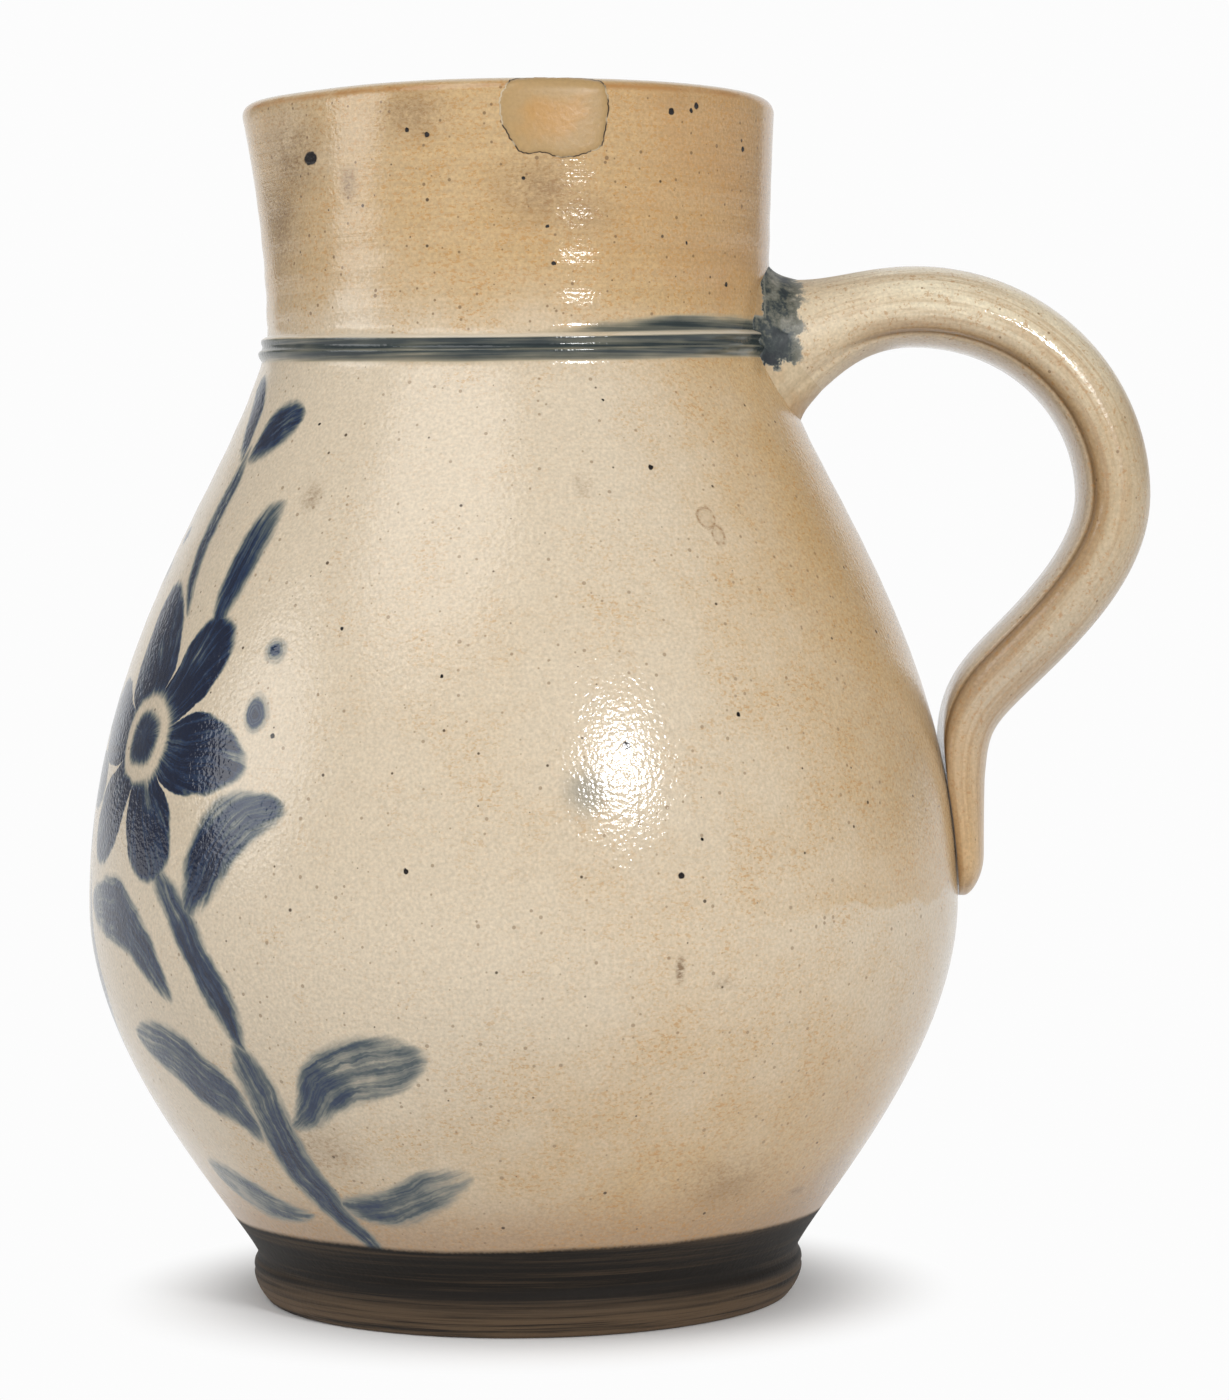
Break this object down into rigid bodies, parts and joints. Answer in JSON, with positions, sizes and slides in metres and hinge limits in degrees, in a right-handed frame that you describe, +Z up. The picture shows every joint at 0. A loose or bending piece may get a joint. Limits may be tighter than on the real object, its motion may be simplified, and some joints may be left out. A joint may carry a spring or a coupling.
{
  "type": "stoneware pitcher",
  "caption": "Ovoid salt-glazed stoneware pitcher with a straight beaded neck, a pinched pouring lip and a pulled strap handle.",
  "frame": {"origin": "middle of the foot's flat underside, on the axis of the thrown body", "axes": "+Z up along the axis of the body, +X towards the handle, -X towards the pouring lip"},
  "size_m": [0.2328, 0.19, 0.26],
  "materials": {
    "salt_glaze_body": "glossy orange-peel salt glaze over cream stoneware, with brushed cobalt and a dark unglazed foot",
    "salt_glaze_handle": "glossy salt glaze over tan stoneware",
    "luting_slip": "glazed clay slip, washed with cobalt at the upper joint",
    "plaster_fill": "satin tinted fill"
  },
  "bodies": {
    "root": {"body": "salt_glaze_body", "handle": "salt_glaze_handle", "upper_luting_slip": "luting_slip", "lower_luting_slip": "luting_slip", "rim_fill": "plaster_fill"}
  },
  "joints": []
}
